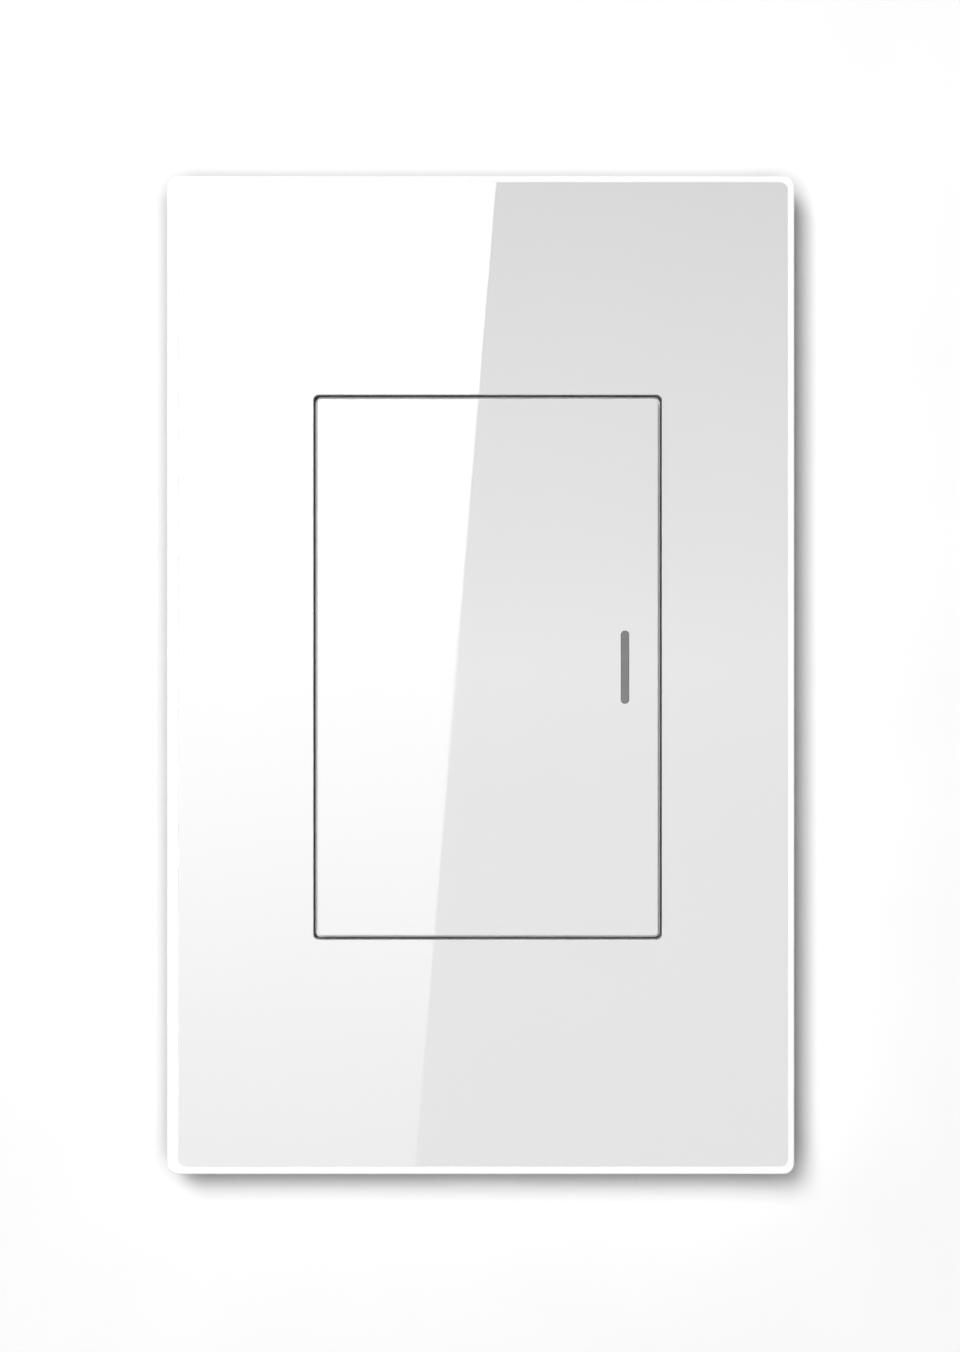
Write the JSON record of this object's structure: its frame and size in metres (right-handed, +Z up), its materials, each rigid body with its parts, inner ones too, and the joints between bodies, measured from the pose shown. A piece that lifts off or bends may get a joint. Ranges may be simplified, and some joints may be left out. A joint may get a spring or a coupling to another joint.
{
  "type": "smart light switch",
  "caption": "Flat rectangular wall switch with a white glass face, one tall hinged key with an indicator bar, a steel mounting strap and a rear box of electronics.",
  "frame": {"origin": "middle of the two box screws, on the wall plane, which is also the middle of the key", "axes": "+Z up along the tall side, +Y into the wall, -Y out of the front face, +X to the right seen from the front"},
  "size_m": [0.0755, 0.04, 0.12],
  "materials": {
    "white_glass": "white back-painted glass, polished",
    "white_plastic": "white moulded plastic, smooth",
    "grey_plastic": "grey moulded plastic",
    "housing_plastic": "white moulded plastic, fine spark finish",
    "foam_tape": "thin white foam tape",
    "smoked_lens": "smoked light guide",
    "zinc_steel": "zinc-plated steel",
    "spring_steel": "rolled spring strip",
    "screw_steel": "nickel-plated steel",
    "brass": "stamped brass",
    "board_green": "green solder mask",
    "black_plastic": "black moulded plastic",
    "plunger_plastic": "dark grey moulded plastic",
    "relay_blue": "blue moulded case",
    "film_yellow": "yellow box case",
    "sleeve_dark": "dark shrink sleeve",
    "varistor_blue": "blue dipped coating",
    "resistor_green": "green lacquer",
    "ferrite": "dark sintered ferrite",
    "tape_yellow": "yellow winding tape",
    "terminal_plastic": "grey-green moulded plastic",
    "shield_metal": "tinned steel can",
    "led_white": "moulded light source"
  },
  "bodies": {
    "base": {"back_housing": "housing_plastic", "board_pin_header": "black_plastic", "board_socket": "black_plastic", "box_screw_bottom": "screw_steel", "box_screw_top": "screw_steel", "bridge_rectifier": "black_plastic", "bulk_capacitor_1": "sleeve_dark", "bulk_capacitor_2": "sleeve_dark", "control_board": "board_green", "control_chip": "black_plastic", "cover_frame_adhesive": "foam_tape", "cover_frame_carrier": "white_plastic", "cover_frame_glass": "white_glass", "film_capacitor": "film_yellow", "front_housing": "housing_plastic", "fuse_resistor": "resistor_green", "housing_screw_1": "screw_steel", "housing_screw_2": "screw_steel", "indicator_led": "led_white", "mounting_strap": "zinc_steel", "output_capacitor": "sleeve_dark", "power_board": "board_green", "radio_board": "board_green", "radio_shield": "shield_metal", "relay": "relay_blue", "return_spring_bottom": "spring_steel", "return_spring_top": "spring_steel", "tact_switch_body": "black_plastic", "terminal_block": "terminal_plastic", "terminal_clamp_1": "brass", "terminal_clamp_2": "brass", "terminal_clamp_3": "brass", "terminal_screw_1": "screw_steel", "terminal_screw_2": "screw_steel", "terminal_screw_3": "screw_steel", "transformer_coil": "tape_yellow", "transformer_core": "ferrite", "varistor": "varistor_blue"},
    "key": {"key_glass": "white_glass", "key_adhesive": "foam_tape", "key_carrier": "grey_plastic", "indicator_lens": "smoked_lens"},
    "tact_plunger": {"tact_plunger": "plunger_plastic"}
  },
  "joints": [
    {"name": "key_press", "type": "hinge", "parent": "base", "child": "key", "pos_m": [-0.017, -0.0046, 0], "axis": [0, 0, 1], "range_deg": [0, 1.6], "stiffness_Nm_per_rad": 1.4, "springref_deg": -0.86, "deforming": ["return_spring_top", "return_spring_bottom"]},
    {"name": "tact_press", "type": "slide", "parent": "base", "child": "tact_plunger", "axis": [0, 1, 0], "range_m": [0, 0.00045]}
  ],
  "couplings": [
    {"joint": "tact_press", "follows": "key_press", "m_per_rad": 0.016}
  ]
}
